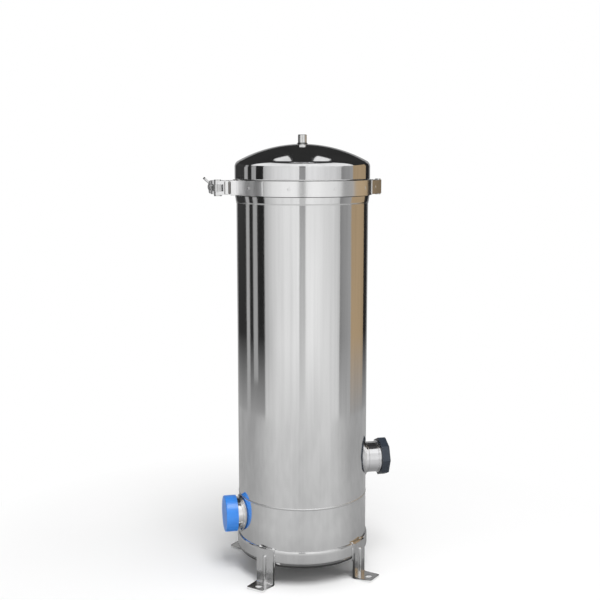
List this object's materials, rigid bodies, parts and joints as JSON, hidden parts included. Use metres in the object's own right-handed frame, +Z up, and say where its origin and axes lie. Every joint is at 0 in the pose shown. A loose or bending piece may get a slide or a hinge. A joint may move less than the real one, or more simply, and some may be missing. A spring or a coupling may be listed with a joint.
{
  "type": "multi-cartridge filter housing",
  "caption": "Upright polished steel filter housing with a domed lid, band clamp with swing bolt and wing nut, capped side ports at two heights, and bolt-down legs.",
  "frame": {"origin": "centre of the foot bolt circle on the floor", "axes": "+Z up the vessel; +X towards the inlet port, -X towards the outlet port and the clamp's closure; the vessel's front is -Y"},
  "size_m": [0.2835, 0.2112, 0.675],
  "materials": {
    "polished_steel": "mirror-polished stainless steel",
    "satin_steel": "satin stainless steel",
    "weld_metal": "dressed and pickled weld",
    "machined_steel": "machined stainless steel",
    "gasket_rubber": "moulded silicone",
    "blue_plastic": "moulded polyethylene",
    "black_plastic": "moulded polypropylene",
    "filter_media": "melt-blown polypropylene"
  },
  "bodies": {
    "housing": {"bottom_head": "satin_steel", "lower_shell": "polished_steel", "upper_shell": "polished_steel", "seam_weld": "weld_metal", "tube_sheet": "satin_steel", "shell_ferrule": "polished_steel", "lid_ferrule": "polished_steel", "lid_gasket": "gasket_rubber", "lid_dome": "polished_steel", "vent_socket": "machined_steel", "inlet_nozzle": "machined_steel", "outlet_nozzle": "machined_steel", "inlet_weld": "weld_metal", "outlet_weld": "weld_metal", "leg_1": "satin_steel", "leg_2": "satin_steel", "leg_3": "satin_steel", "leg_4": "satin_steel", "cartridge_1": "filter_media", "cartridge_2": "filter_media", "cartridge_3": "filter_media", "cartridge_4": "filter_media", "cartridge_5": "filter_media", "hold_down_plate": "satin_steel", "tie_rod": "satin_steel", "rod_washer": "satin_steel", "rod_nut": "satin_steel"},
    "clamp_front": {"strap_front": "polished_steel", "v_segment_front": "polished_steel", "ear_front": "polished_steel", "pivot_pin": "machined_steel"},
    "clamp_rear": {"strap_rear": "polished_steel", "v_segment_rear": "polished_steel", "ear_rear": "polished_steel", "hinge_pin": "machined_steel"},
    "bolt": {"swing_bolt": "machined_steel"},
    "saddle": {"saddle_washer": "machined_steel"},
    "nut": {"wing_nut": "machined_steel"},
    "outlet_cap_body": {"outlet_cap": "blue_plastic"},
    "inlet_cap_body": {"inlet_cap": "black_plastic"}
  },
  "joints": [
    {"name": "front_spread", "type": "hinge", "parent": "housing", "child": "clamp_front", "pos_m": [0.1193, 0, 0.5964], "axis": [0, 0, 1], "range_deg": [0, 1.2]},
    {"name": "rear_spread", "type": "hinge", "parent": "housing", "child": "clamp_rear", "pos_m": [0.1193, 0, 0.5964], "axis": [0, 0, -1], "range_deg": [0, 1.2]},
    {"name": "bolt_swing", "type": "hinge", "parent": "clamp_front", "child": "bolt", "pos_m": [-0.1316, -0.015, 0.5964], "axis": [0, 0, 1], "range_deg": [0, 135]},
    {"name": "nut_travel", "type": "slide", "parent": "bolt", "child": "saddle", "axis": [0, 1, 0], "range_m": [0, 0.00626]},
    {"name": "nut_turn", "type": "hinge", "parent": "saddle", "child": "nut", "pos_m": [-0.1316, 0.027, 0.5964], "axis": [0, 1, 0], "range_deg": [0, 1800]},
    {"name": "outlet_cap_pull", "type": "slide", "parent": "housing", "child": "outlet_cap_body", "axis": [-1, 0, 0], "range_m": [0, 0.08]},
    {"name": "inlet_cap_pull", "type": "slide", "parent": "housing", "child": "inlet_cap_body", "axis": [1, 0, 0], "range_m": [0, 0.08]}
  ],
  "couplings": [
    {"joint": "front_spread", "follows": "bolt_swing", "ratio": 0.0085},
    {"joint": "rear_spread", "follows": "bolt_swing", "ratio": 0.0085},
    {"joint": "nut_travel", "follows": "nut_turn", "m_per_rad": 0.00019894}
  ]
}
